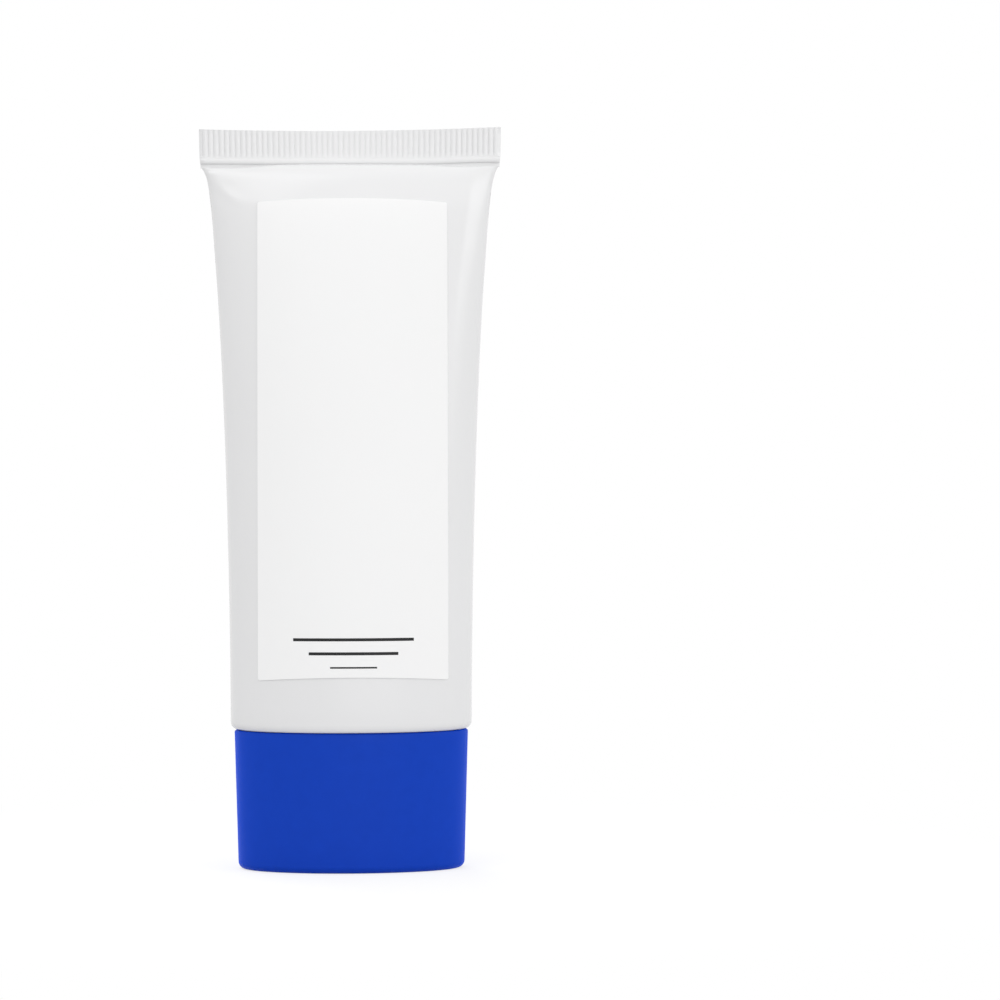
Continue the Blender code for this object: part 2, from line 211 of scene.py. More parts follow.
# %% [markdown]
# The floor is a white sheet. Close to the cap it keeps part of the real shading, so the contact shadow
# stays. Further out it turns to plain white, which hides where the sheet ends. The tube stands on its
# cap, so the sheet goes down with the slide that the cap rides on: the cap stays on the sheet when it is
# unscrewed, and doesn't sink into it.

# %% Floor
FLOOR_REACH = 4.0
FLOOR_GREY = (0.55, 0.55, 0.55, 1.0)
SHADOW_SHARE = 0.30
SHADOW_FADE_FROM = 30.0 * MM
SHADOW_FADE_TO = 140.0 * MM

floor_mesh = bpy.data.meshes.new("floor")
shape = bmesh.new()
bmesh.ops.create_grid(shape, x_segments=1, y_segments=1, size=FLOOR_REACH)
shape.to_mesh(floor_mesh)
shape.free()
floor = add_object("floor", floor_mesh)

sheet = bpy.data.materials.new("floor_sheet")
sheet.use_nodes = True
tree = sheet.node_tree
tree.nodes.clear()
bounce = add_node(tree, "ShaderNodeBsdfDiffuse", values={"Color": FLOOR_GREY})
lit_sheet = add_node(tree, "ShaderNodeBsdfDiffuse", values={"Color": WHITE})
plain_white = add_node(tree, "ShaderNodeEmission", values={"Color": WHITE})
distance = add_node(tree, "ShaderNodeVectorMath", settings={"operation": "LENGTH"})
tree.links.new(object_place(tree), distance.inputs[0])
fade = add_node(
    tree,
    "ShaderNodeMapRange",
    settings={"interpolation_type": "SMOOTHSTEP"},
    values={"From Min": SHADOW_FADE_FROM, "From Max": SHADOW_FADE_TO, "To Min": 1.0 - SHADOW_SHARE},
    Value=distance.outputs["Value"],
)
near_tube = mix_shaders(tree, fade.outputs["Result"], lit_sheet.outputs[0], plain_white.outputs[0])
shown = mix_shaders(tree, seen_directly(tree), bounce.outputs[0], near_tube)
add_node(tree, "ShaderNodeOutputMaterial", Surface=shown)
floor_mesh.materials.append(sheet)
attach(floor, "liner")
floor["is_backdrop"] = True

# %% [markdown]
# ## Shared finishes
# Several materials here need the same effects: a fine grain from the mould or the extruder, a slow
# drift of the colour, lines drawn along the film, and a gloss that handling has made uneven. Each is
# one node group, and each material places it with its own numbers. The groups only put out colours,
# heights, masks and values; the Principled shader stays in the material, where its own sockets hold
# whatever is the same all over.

# %% Helper: a node group with named sockets
SOCKETS = {"value": "NodeSocketFloat", "color": "NodeSocketColor", "vector": "NodeSocketVector"}


def new_group(name, inputs, outputs):
    """Empty node group; inputs are (name, kind, default) and outputs are (name, kind)."""
    group = bpy.data.node_groups.new(name, "ShaderNodeTree")
    for title, kind, default in inputs:
        socket = group.interface.new_socket(name=title, in_out="INPUT", socket_type=SOCKETS[kind])
        socket.default_value = default
    for title, kind in outputs:
        group.interface.new_socket(name=title, in_out="OUTPUT", socket_type=SOCKETS[kind])
    start = group.nodes.new("NodeGroupInput")
    end = group.nodes.new("NodeGroupOutput")
    return group, start, end


# %% Shared finish: fine grain
WIDE_SHARE = 0.17
grain_group, start, end = new_group(
    "fine_grain", [("Scale", "value", 1000.0), ("Coarse Share", "value", 0.4)], [("Height", "value")]
)
place = object_place(grain_group)
fine = add_node(
    grain_group, "ShaderNodeTexNoise", values={"Detail": 2.0}, Vector=place, Scale=start.outputs["Scale"]
)
wide_scale = math_node(grain_group, "MULTIPLY", start.outputs["Scale"], WIDE_SHARE)
wide = add_node(grain_group, "ShaderNodeTexNoise", values={"Detail": 1.0}, Vector=place, Scale=wide_scale)
blend = add_node(grain_group, "ShaderNodeMix", Factor=start.outputs["Coarse Share"])
grain_group.links.new(fine.outputs["Fac"], blend.inputs["A"])
grain_group.links.new(wide.outputs["Fac"], blend.inputs["B"])
grain_group.links.new(blend.outputs["Result"], end.inputs["Height"])

# %% Shared finish: slow drift of the colour
drift_group, start, end = new_group(
    "tone_drift",
    [("Color", "color", (0.8, 0.8, 0.8, 1.0)), ("Scale", "value", 60.0), ("Amount", "value", 0.02)],
    [("Color", "color")],
)
place = object_place(drift_group)
cloud = add_node(
    drift_group, "ShaderNodeTexNoise", values={"Detail": 3.0}, Vector=place, Scale=start.outputs["Scale"]
)
centred = math_node(drift_group, "SUBTRACT", cloud.outputs["Fac"], 0.5)
swing = math_node(drift_group, "MULTIPLY", centred, start.outputs["Amount"])
factor = math_node(drift_group, "ADD", swing, 1.0)
tinted = add_node(drift_group, "ShaderNodeVectorMath", settings={"operation": "SCALE"}, Scale=factor)
drift_group.links.new(start.outputs["Color"], tinted.inputs[0])
drift_group.links.new(tinted.outputs[0], end.inputs["Color"])

# %% Shared finish: gloss worn uneven by handling
gloss_group, start, end = new_group(
    "handled_gloss",
    [("Scale", "value", 80.0), ("Least", "value", 0.3), ("Most", "value", 0.4)],
    [("Roughness", "value")],
)
place = object_place(gloss_group)
cloud = add_node(
    gloss_group, "ShaderNodeTexNoise", values={"Detail": 4.0}, Vector=place, Scale=start.outputs["Scale"]
)
worn = add_node(
    gloss_group,
    "ShaderNodeMapRange",
    values={"From Min": 0.35, "From Max": 0.65},
    Value=cloud.outputs["Fac"],
    To_Min=start.outputs["Least"],
    To_Max=start.outputs["Most"],
)
gloss_group.links.new(worn.outputs["Result"], end.inputs["Roughness"])

# %% Shared finish: lines drawn along one direction
lines_group, start, end = new_group(
    "drawn_lines",
    [("Across", "vector", (400.0, 400.0, 4.0)), ("Share", "value", 0.5)],
    [("Height", "value")],
)
place = object_place(lines_group)
stretched = add_node(lines_group, "ShaderNodeVectorMath", settings={"operation": "MULTIPLY"})
lines_group.links.new(place, stretched.inputs[0])
lines_group.links.new(start.outputs["Across"], stretched.inputs[1])
streaks = add_node(
    lines_group, "ShaderNodeTexNoise", values={"Scale": 1.0, "Detail": 3.0}, Vector=stretched.outputs[0]
)
height = math_node(lines_group, "MULTIPLY", streaks.outputs["Fac"], start.outputs["Share"])
lines_group.links.new(height, end.inputs["Height"])
print("node groups:", sorted(group.name for group in bpy.data.node_groups))

# %% [markdown]
# Every material of the tube is built from the same bricks, so one function, named for the plastics, lays
# them: colour with its drift, gloss with its handling, and a bump from the grain. What differs is only
# numbers, which each material cell states.

# %% Helper: a plastic from the shared finishes
def use_group(tree, group, **values):
    """Place a shared group in a material and type in its values."""
    node = tree.nodes.new("ShaderNodeGroup")
    node.node_tree = group
    for name, value in values.items():
        node.inputs[name.replace("_", " ")].default_value = value
    return node


def plastic(name, color, gloss, grain, drift, bump, specular=0.5):
    """Material from the shared finishes; each tuple holds the values of its group's sockets in order."""
    material = bpy.data.materials.new(name)
    material.use_nodes = True
    tree = material.node_tree
    shader = tree.nodes["Principled BSDF"]
    shader.inputs["Specular IOR Level"].default_value = specular
    tone = use_group(tree, drift_group, Color=(*color, 1.0), Scale=drift[0], Amount=drift[1])
    tree.links.new(tone.outputs["Color"], shader.inputs["Base Color"])
    shine = use_group(tree, gloss_group, Scale=gloss[0], Least=gloss[1], Most=gloss[2])
    tree.links.new(shine.outputs["Roughness"], shader.inputs["Roughness"])
    relief = use_group(tree, grain_group, Scale=grain[0], Coarse_Share=grain[1])
    dents = add_node(tree, "ShaderNodeBump", values={"Strength": bump[0], "Distance": bump[1]})
    tree.links.new(relief.outputs["Height"], dents.inputs["Height"])
    tree.links.new(dents.outputs["Normal"], shader.inputs["Normal"])
    return material


def add_height(material, group_node, output="Height"):
    """Add a second height to the one that the material's bump already has."""
    tree = material.node_tree
    dents = next(node for node in tree.nodes if node.type == "BUMP")
    first = dents.inputs["Height"].links[0].from_socket
    total = math_node(tree, "ADD", first, group_node.outputs[output])
    tree.links.new(total, dents.inputs["Height"])


# %% [markdown]
# ## The sleeve's film
# The sleeve is a polyethylene hose, extruded in one long length and cut. Its skin is satin: smooth, a
# little like orange peel, with the faintest lines along its length.

# %% Material: sleeve film
film = plastic(
    "sleeve_film",
    color=(0.80, 0.80, 0.805),
    gloss=(70.0, 0.17, 0.24),
    grain=(900.0, 0.5),
    drift=(45.0, 0.02),
    bump=(0.10, 0.02 * MM),
)
add_height(film, use_group(film.node_tree, lines_group, Across=(500.0, 500.0, 6.0), Share=0.6))

# %% [markdown]
# ## The cap's blue
# The cap is injection moulded in a mould with a fine spark-eroded grain, so it scatters light and its
# blue stays deep. The grain breaks the plain reflection up, for which a low index of refraction stands
# here, and what it scatters at the cap's edges is blue, like a sheen.

# %% Material: cap blue
cap_blue = plastic(
    "cap_blue",
    color=(0.0082, 0.0525, 0.466),
    gloss=(90.0, 0.30, 0.38),
    grain=(2600.0, 0.3),
    drift=(500.0, 0.10),
    bump=(0.25, 0.03 * MM),
)
shader = cap_blue.node_tree.nodes["Principled BSDF"]
shader.inputs["IOR"].default_value = 1.15
shader.inputs["Sheen Weight"].default_value = 1.0
shader.inputs["Sheen Roughness"].default_value = 0.55
shader.inputs["Sheen Tint"].default_value = (0.0, 0.10, 1.0, 1.0)

# %% Material: white moulding of the shoulder and the socket
moulding = plastic(
    "white_moulding",
    color=(0.80, 0.80, 0.80),
    gloss=(120.0, 0.34, 0.46),
    grain=(1800.0, 0.3),
    drift=(120.0, 0.03),
    bump=(0.2, 0.03 * MM),
)

# %% [markdown]
# ## The label's film
# The label is a matt white film, whiter than the plastic under it and so rough that it looks almost as
# bright from its lit side as from the other, which Diffuse Roughness gives. Its print is generic: three
# plain rules of ink near its foot, each with a height, a width and a thickness. The rules are a mask in
# the material, cut from the object's own coordinates, so they need no image and stay sharp at any size.

# %% Shared mask: one printed rule
rule_group, start, end = new_group(
    "printed_rule",
    [("Middle", "vector", (0.0, 0.0, 0.0)), ("Half Size", "vector", (0.01, 1.0, 0.0002))],
    [("Mask", "value")],
)
place = object_place(rule_group)
offset = add_node(rule_group, "ShaderNodeVectorMath", settings={"operation": "SUBTRACT"})
rule_group.links.new(place, offset.inputs[0])
rule_group.links.new(start.outputs["Middle"], offset.inputs[1])
reach = add_node(rule_group, "ShaderNodeVectorMath", settings={"operation": "ABSOLUTE"})
rule_group.links.new(offset.outputs[0], reach.inputs[0])
split = add_node(rule_group, "ShaderNodeSeparateXYZ")
rule_group.links.new(reach.outputs[0], split.inputs[0])
limit = add_node(rule_group, "ShaderNodeSeparateXYZ")
rule_group.links.new(start.outputs["Half Size"], limit.inputs[0])
inside_x = math_node(rule_group, "LESS_THAN", split.outputs["X"], limit.outputs["X"])
inside_z = math_node(rule_group, "LESS_THAN", split.outputs["Z"], limit.outputs["Z"])
rule_group.links.new(math_node(rule_group, "MULTIPLY", inside_x, inside_z), end.inputs["Mask"])

# %% Material: label film with three plain rules
RULE_MIDDLE = 0.4 * MM
RULES = (
    (42.0 * MM, 21.6 * MM, 0.55 * MM),
    (39.5 * MM, 16.0 * MM, 0.55 * MM),
    (37.0 * MM, 8.4 * MM, 0.3 * MM),
)
INK = (0.012, 0.012, 0.013, 1.0)
MIX_FACTOR, COLOR_A, COLOR_B, COLOR_RESULT = 0, 6, 7, 2
label_film = plastic(
    "label_film",
    color=(0.942, 0.942, 0.942),
    gloss=(60.0, 0.50, 0.58),
    grain=(1500.0, 0.35),
    drift=(35.0, 0.012),
    bump=(0.12, 0.02 * MM),
    specular=0.35,
)
tree = label_film.node_tree
shader = tree.nodes["Principled BSDF"]
printed = 0.0
for height, width, thickness in RULES:
    rule = use_group(
        tree, rule_group, Middle=(RULE_MIDDLE, 0.0, height), Half_Size=(width / 2, 1.0, thickness / 2)
    )
    printed = math_node(tree, "MAXIMUM", printed, rule.outputs["Mask"])
shader.inputs["Diffuse Roughness"].default_value = 1.0
inked = add_node(tree, "ShaderNodeMix", settings={"data_type": "RGBA"})
tree.links.new(printed, inked.inputs[MIX_FACTOR])
tree.links.new(shader.inputs["Base Color"].links[0].from_socket, inked.inputs[COLOR_A])
inked.inputs[COLOR_B].default_value = INK
tree.links.new(inked.outputs[COLOR_RESULT], shader.inputs["Base Color"])
print("label rules:", len(RULES))

# %% [markdown]
# ## Foil, foam and lotion
# Three materials hide inside. The foil is rolled aluminium, so its lines run one way. The wad is
# expanded foam with closed cells, which a Voronoi texture draws as small domes. The lotion is a thick
# cream: glossy, with soft swirls.

# %% Material: foil
foil = plastic(
    "peel_foil",
    color=(0.75, 0.76, 0.78),
    gloss=(300.0, 0.22, 0.38),
    grain=(700.0, 0.8),
    drift=(200.0, 0.05),
    bump=(0.5, 0.05 * MM),
)
foil.node_tree.nodes["Principled BSDF"].inputs["Metallic"].default_value = 1.0
add_height(foil, use_group(foil.node_tree, lines_group, Across=(60.0, 3000.0, 60.0), Share=0.4))

# %% Material: foam wad
foam = plastic(
    "foam_wad",
    color=(0.86, 0.86, 0.84),
    gloss=(200.0, 0.70, 0.85),
    grain=(2500.0, 0.4),
    drift=(300.0, 0.04),
    bump=(0.6, 0.10 * MM),
)
tree = foam.node_tree
cells = add_node(tree, "ShaderNodeTexVoronoi", values={"Scale": 1800.0}, Vector=object_place(tree))
add_height(foam, cells, "Distance")

# %% Material: lotion
cream = plastic(
    "lotion_cream",
    color=(0.90, 0.86, 0.76),
    gloss=(100.0, 0.15, 0.30),
    grain=(120.0, 0.6),
    drift=(80.0, 0.03),
    bump=(0.4, 0.2 * MM),
)
print("materials:", len(bpy.data.materials))

# %% [markdown]
# ## The sleeve: one girth from oval to flat
# A squeeze tube's sleeve starts as a hose of one girth. The shoulder holds its foot oval, the crimp
# presses its head flat, and in between each section is an oval that keeps the girth: where the tube
# gets thinner it must get wider. So the width isn't drawn at all. Only the depth follows a curve, and
# the width at each height is found from the girth, by Ramanujan's formula for an ellipse.

# %% Sleeve law
sleeve_low, sleeve_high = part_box("sleeve")
GIRTH = 110.0 * MM
HALF_DEPTH = sleeve_high[1]
SEAM = sleeve_low[2]
CRIMP_TOP = sleeve_high[2]
RIB_HEIGHT = 5.7 * MM
BEAD_HEIGHT = 1.3 * MM
BEAD_TOP = CRIMP_TOP - RIB_HEIGHT
BODY_LENGTH = BEAD_TOP - BEAD_HEIGHT - SEAM
FLATTENING = 1.7
PILLOW = 0.3
LEAST_HALF_DEPTH = 0.4 * MM
CORNER_TUCK = 0.28 * MM
TUCK_FROM = 112.0 * MM
TUCK_TO = 124.0 * MM


def oval_girth(half_width, half_depth):
    """Girth of an ellipse, by Ramanujan's formula."""
    both = half_width + half_depth
    cross = math.sqrt((3 * half_width + half_depth) * (half_width + 3 * half_depth))
    return math.pi * (3 * both - cross)


def half_width_of(half_depth):
    """Half-width of the oval that keeps the girth at this half-depth."""
    low, high = 0.0, GIRTH / 2
    while high - low > TINY:
        middle = (low + high) / 2
        low, high = (low, middle) if oval_girth(middle, half_depth) > GIRTH else (middle, high)
    return (low + high) / 2


def sleeve_section(z):
    """Half-width and half-depth of the sleeve's outside at a height."""
    share = min(max((z - SEAM) / BODY_LENGTH, 0.0), 1.0)
    swell = (1.0 - share ** FLATTENING) ** PILLOW
    half_depth = max(HALF_DEPTH * swell, LEAST_HALF_DEPTH)
    tuck = CORNER_TUCK * min(max((z - TUCK_FROM) / (TUCK_TO - TUCK_FROM), 0.0), 1.0)
    return half_width_of(half_depth) - tuck, half_depth


for z in (SEAM, 60 * MM, 90 * MM, 120 * MM, 127 * MM):
    half_width, half_depth = sleeve_section(z)
    print(f"z {z / MM:5.1f} mm: half-width {half_width / MM:.2f}, half-depth {half_depth / MM:.2f} mm")

# %% [markdown]
# A filled tube is never a perfect oval. Near the crimp its section turns a little pointed, like a lens.
# The photo shows two soft folds on the front, a long one down the right flank and a short one from the
# crimp's left corner, a shallow dimple under the middle of the crimp, and on the back a wide U-shaped
# dent low down. The back gets the same two folds, and a wide hollow under the crimp. All are small
# heights added to the skin's depth, each a bell curve with its own place, width and height.

# %% Dents of a filled tube
def bell(distance, width):
    return math.exp(-((distance / width) ** 2))


def smooth_step(value, low, high):
    share = min(max((value - low) / (high - low), 0.0), 1.0)
    return share * share * (3 - 2 * share)


FOLD_WIDTH_SHARE = 0.05
FOLD_FADE_IN = (-0.1, 0.3)
FOLD_FADE_OUT = (0.95, 1.05)
RIGHT_FOLD = dict(height=0.10 * MM, foot=60 * MM, head=125 * MM, shares=(0.77, 0.86), bend=1.0)
LEFT_FOLD = dict(height=0.17 * MM, foot=120 * MM, head=127 * MM, shares=(-0.74, -0.97), bend=2.0)
DIMPLE = dict(depth=0.18 * MM, middle=123.6 * MM, height=2.6 * MM, share=0.12, width=0.35)
BACK_HOLLOW = dict(depth=0.15 * MM, middle=119 * MM, height=6 * MM, share=0.0, width=0.3)
LENS_FROM = 119.0 * MM
LENS_TO = 127.0 * MM
LENS_SHARE = 0.14


def fold_height(across, z, fold):
    """Height of a fold that runs up the front from its foot to its head."""
    span = fold["head"] - fold["foot"]
    climb = (z - fold["foot"]) / span
    foot_share, head_share = fold["shares"]
    line = head_share + (foot_share - head_share) * min(max(1 - climb, 0.0), 1.0) ** fold["bend"]
    fade = smooth_step(climb, *FOLD_FADE_IN) * (1 - smooth_step(climb, *FOLD_FADE_OUT))
    return fold["height"] * fade * bell(across - line, FOLD_WIDTH_SHARE)


def both_folds(across, z):
    return fold_height(across, z, RIGHT_FOLD) + fold_height(across, z, LEFT_FOLD)


def hollow_depth(across, z, hollow):
    """Depth of a shallow hollow, a bell curve both across and up."""
    spot = bell(across - hollow["share"], hollow["width"]) * bell(z - hollow["middle"], hollow["height"])
    return hollow["depth"] * spot


def front_relief(across, z):
    """Height that the front adds to the oval; across runs from -1 at the left edge to 1."""
    return both_folds(across, z) - hollow_depth(across, z, DIMPLE)


def side_depth(across, z, half_depth):
    """Depth of the bare section at a place across: an oval, drawn towards a lens near the crimp."""
    power = 0.5 + LENS_SHARE * smooth_step(z, LENS_FROM, LENS_TO)
    return half_depth * max(1 - across * across, 0.0) ** power


DENT_DEPTH = 0.24 * MM
DENT_RADIUS = 15.0 * MM
DENT_WIDTH = 2.5 * MM
DENT_CENTRE = 72.0 * MM
DENT_SPAN = 22.0 * MM
DENT_OPENING = (64.0 * MM, 78.0 * MM)


def back_relief(across, z):
    """Height that the back adds: the same folds seen from its side, and a sunken U, open upwards."""
    away = math.hypot(across * DENT_SPAN, z - DENT_CENTRE)
    dent = DENT_DEPTH * bell(away - DENT_RADIUS, DENT_WIDTH) * (1 - smooth_step(z, *DENT_OPENING))
    return both_folds(-across, z) - dent - hollow_depth(across, z, BACK_HOLLOW)


# %% [markdown]
# The skin is a loft: rings of points, each at its height, joined by faces. Up to the bead the rings have
# 112 columns a side, crowded towards the ends where the oval turns fast. The crimp's ribs need three
# times as many, six for each rib, so a special row of faces leads from one count to the other.

# %% Helpers: faces between rings
SMOOTH_ANGLE = math.radians(38)


def ring_vertices(shape, points):
    return [shape.verts.new(point) for point in points]


def bridge(shape, lower, upper):
    """Faces between two closed rings of equal count."""
    for start in range(len(lower)):
        end = (start + 1) % len(lower)
        shape.faces.new((lower[start], lower[end], upper[end], upper[start]))


def loft(rings, closed=False):
    """Skin through rings of equal count: joined end to end if closed, otherwise with a face on each end."""
    shape = bmesh.new()
    loops = [ring_vertices(shape, ring) for ring in rings]
    for lower, upper in zip(loops, loops[1:]):
        bridge(shape, lower, upper)
    if closed:
        bridge(shape, loops[-1], loops[0])
    else:
        shape.faces.new(loops[0])
        shape.faces.new(loops[-1])
    return shape


def finish_mesh(name, shape, material, smooth_angle=SMOOTH_ANGLE):
    """Weld, orient and shade a bmesh, and link it as an object with its material."""
    bmesh.ops.remove_doubles(shape, verts=shape.verts[:], dist=TINY)
    bmesh.ops.recalc_face_normals(shape, faces=shape.faces[:])
    mesh = bpy.data.meshes.new(name)
    shape.to_mesh(mesh)
    shape.free()
    mesh.shade_smooth()
    mesh.set_sharp_from_angle(angle=smooth_angle)
    mesh.materials.append(material)
    print(f"{name}: {len(mesh.polygons)} faces")
    return add_object(name, mesh)


# %% Sleeve rings
RIB_PITCH = 0.98 * MM
RIBS = round(GIRTH / 2 / RIB_PITCH)
FINE_PER_COARSE = 3
COARSE_COLUMNS = 2 * RIBS
FINE_COLUMNS = COARSE_COLUMNS * FINE_PER_COARSE
HALF_CRIMP = GIRTH / 4
CRIMP_VALLEY = 0.36 * MM
CRIMP_CREST = 0.58 * MM
GROOVE_DROP = 0.10 * MM
LEFT_DROP = 0.08 * MM
LEFT_SPAN = (0.1, 0.5)
RIGHT_LIFT = 0.36 * MM
RIGHT_SPAN = (0.40, 0.95)
ROOF_DIP = 0.50 * MM
ROOF_DIP_SPAN = (0.45, 0.80)
ROOF_DIP_FROM = 125.0 * MM
CROWDED_UNTIL = 112.0 * MM
EVEN_FROM = 127.5 * MM
body_top = SEAM + BODY_LENGTH - GROOVE_DROP


def spread(column, columns, roundness):
    """Place across from -1 to 1: even where roundness is 0, crowded to the ends where it is 1."""
    even = 2 * column / columns - 1
    return even + (math.sin(math.pi / 2 * even) - even) * roundness


def sided_ring(columns, roundness, height_at, depth_at, half_width):
    """Ring of a front and a back row; depth_at(across, front) is how far a point lies from mid plane."""
    points = []
    for column in range(columns + 1):
        across = spread(column, columns, roundness)
        points.append((across * half_width, -depth_at(across, True), height_at(across)))
    for column in range(columns, -1, -1):
        across = spread(column, columns, roundness)
        points.append((across * half_width, depth_at(across, False), height_at(across)))
    return points


def bead_climb(across):
    """The bead and the groove lie a little low on the left and climb at the right end."""
    return RIGHT_LIFT * smooth_step(across, *RIGHT_SPAN) - LEFT_DROP * smooth_step(-across, *LEFT_SPAN)


def roof_dip(across):
    """Towards both ends the roof starts lower, which opens the groove over it."""
    return ROOF_DIP * smooth_step(abs(across), *ROOF_DIP_SPAN)


def body_ring(z, inset=0.0, lift=0.0, deep=None):
    """Oval ring of the sleeve's side, with its relief; inset draws it in, lift moves it up.

    deep is the inset at the front and the back, where it differs from the one at the two sides.
    """
    half_width, half_depth = sleeve_section(z)
    half_width -= inset
    half_depth -= inset if deep is None else deep
    roundness = 1.0 - smooth_step(z, CROWDED_UNTIL, EVEN_FROM)
    near_crimp = smooth_step(z, ROOF_DIP_FROM, body_top)

    def depth_at(across, front):
        relief = front_relief(across, z) if front else back_relief(across, z)
        bare = side_depth(across, z, half_depth)
        return bare + (relief if inset == 0.0 and abs(across) < 1 else 0.0)

    def height_at(across):
        return z + lift + (bead_climb(across) - roof_dip(across)) * near_crimp

    return sided_ring(COARSE_COLUMNS, roundness, height_at, depth_at, half_width)


# %% Sleeve foot, side and roof
FOOT_RADIUS = 1.4 * MM
FOOT_DEPTH_SHARE = 0.35
FOOT_STEPS = 6
LIP_WIDTH = 3.0 * MM
WALL = 0.5 * MM
SIDE_ROWS = 72
INNER_ROWS = 24
INNER_TOP_SHARE = 0.985
CROWDING = 2.4
SLEEVE_SMOOTH_ANGLE = math.radians(50)
shape = bmesh.new()


def corner_rings(radius):
    """Rings round the lower corner, from its level foot to its upright side."""
    rings = []
    shell = FOOT_RADIUS - radius
    for step in range(FOOT_STEPS + 1):
        angle = math.pi / 2 * step / FOOT_STEPS
        inset = FOOT_RADIUS - radius * math.sin(angle)
        height = FOOT_RADIUS - radius * math.cos(angle)
        deep = shell + (inset - shell) * FOOT_DEPTH_SHARE
        rings.append(body_ring(SEAM, inset, height, deep))
    return rings


def side_rings(rows, inset, top):
    foot = SEAM + FOOT_RADIUS
    rises = [1.0 - (1.0 - row / rows) ** CROWDING for row in range(1, rows + 1)]
    return [body_ring(foot + (top - foot) * rise, inset) for rise in rises]


inner_top = SEAM + BODY_LENGTH * INNER_TOP_SHARE
outside = [body_ring(SEAM, LIP_WIDTH)] + corner_rings(FOOT_RADIUS) + side_rings(SIDE_ROWS, 0.0, body_top)
inside = [body_ring(SEAM, LIP_WIDTH, WALL)] + corner_rings(FOOT_RADIUS - WALL)
inside += side_rings(INNER_ROWS, WALL, inner_top)
loops = [ring_vertices(shape, ring) for ring in outside[::-1] + inside]
for lower, upper in zip(loops, loops[1:]):
    bridge(shape, lower, upper)
shape.faces.new(loops[-1])
roof_loop = loops[0]
print("sleeve rings:", len(loops))

# %% [markdown]
# The crimp is one pressed strip. Under its ribs runs a bead of plastic that the hot jaws squeezed out, and
# below the bead the film drops into a narrow groove, deepest at both ends, before the roof swells out. The
# bead's section is a superellipse that leans: a rounded ledge on top catches the light, and its face
# turns a little downwards. The ribs have broad crests and narrow valleys, are shallowest in the middle,
# and fade out at the strip's ends and at its free edge, where the jaws end. That edge isn't quite
# straight in the photo: it sags in the middle and climbs to the right.

# %% Crimp rings
BEAD_STEPS = 14
BEAD_THICKNESS = 1.5 * MM
BEAD_SQUARENESS = dict(face=4.0, ledge=2.2)
BEAD_EASE = 0.01 * MM
BEAD_LEAN = (0.02, 0.14)
GROOVE_RISE = 0.12 * MM
GROOVE_FLOOR = (0.52 * MM, 0.20 * MM)
MIDDLE_SPAN = (0.30, 0.75)
RIB_SHALLOWING = 0.48
SHALLOW_WIDTH = 0.5
RIB_PHASE = 1 / 3
RIB_FADE_IN = (0.0, 0.05)
RIB_FADE_OUT = (0.86, 1.0)
RIB_LOSS = 0.75
BEAD_END_LOW = 0.28 * MM
BEAD_END_HIGH = 0.10 * MM
EDGE_SAG = 0.52 * MM
EDGE_DROP_LEFT = 0.60 * MM
END_PLAIN_SPAN = (0.98, 0.99)
END_TAPER_SPAN = (0.985, 1.0)
END_THINNING = 0.45
RIB_ROWS = 12


def end_taper(across):
    """The strip's two ends are rounded off: full thickness inside, about half of it at the very end."""
    return 1 - END_THINNING * smooth_step(abs(across), *END_TAPER_SPAN)


def edge_drop(across, rise):
    """How far the strip's free edge lies under its highest point, growing from 0 at the bead."""
    sag = EDGE_SAG * (1 - across * across)
    return (sag + EDGE_DROP_LEFT * (1 - across) / 2) * rise


def from_middle(across, middle, end):
    """Value that goes from one at the strip's middle to another towards both ends."""
    return middle + (end - middle) * smooth_step(abs(across), *MIDDLE_SPAN)


def rib_shape(across):
    """0 in a valley between ribs to 1 on a crest, with the ends of the strip left plain."""
    slope = 1 - abs(math.sin(math.pi * (across * RIBS / 2 + RIB_PHASE)))
    plain = smooth_step(abs(across), *END_PLAIN_SPAN)
    return (1 - slope * slope) * (1 - plain)


def strip_ring(columns, z, thickness_at, narrow, rise=0.0, dip_at=None):
    """Ring of the crimp at a height, narrower at its ends; thickness_at(across) is its half thickness."""

    def height_at(across):
        dip = dip_at(across) if dip_at else 0.0
        return z + bead_climb(across) * (1 - rise) - edge_drop(across, rise) - dip

    def depth_at(across, front):
        return thickness_at(across) * end_taper(across)

    return sided_ring(columns, 0.0, height_at, depth_at, HALF_CRIMP - narrow)


def groove_floor(across):
    return from_middle(across, *GROOVE_FLOOR)


bead_half = (BEAD_HEIGHT - GROOVE_RISE) / 2
floor_ring = strip_ring(COARSE_COLUMNS, body_top, groove_floor, BEAD_END_LOW, dip_at=roof_dip)
last = ring_vertices(shape, floor_ring)
bridge(shape, roof_loop, last)
for step in range(BEAD_STEPS + 1):
    level = -math.cos(math.pi * step / BEAD_STEPS)
    z = BEAD_TOP - bead_half + bead_half * level
    squareness = BEAD_SQUARENESS["ledge" if level > 0 else "face"]
    bulge = (1 - abs(level) ** squareness) ** (1 / squareness)

    def bead_at(across):
        lean = 1 - from_middle(across, *BEAD_LEAN) * (1 - level) / 2
        least = groove_floor(across) if level < 0 else CRIMP_CREST
        return max(BEAD_THICKNESS / 2 * bulge * lean, least)

    narrow = BEAD_END_LOW + (BEAD_END_HIGH - BEAD_END_LOW) * (level + 1) / 2
    loop = ring_vertices(shape, strip_ring(COARSE_COLUMNS, z, bead_at, narrow))
    bridge(shape, last, loop)
    last = loop

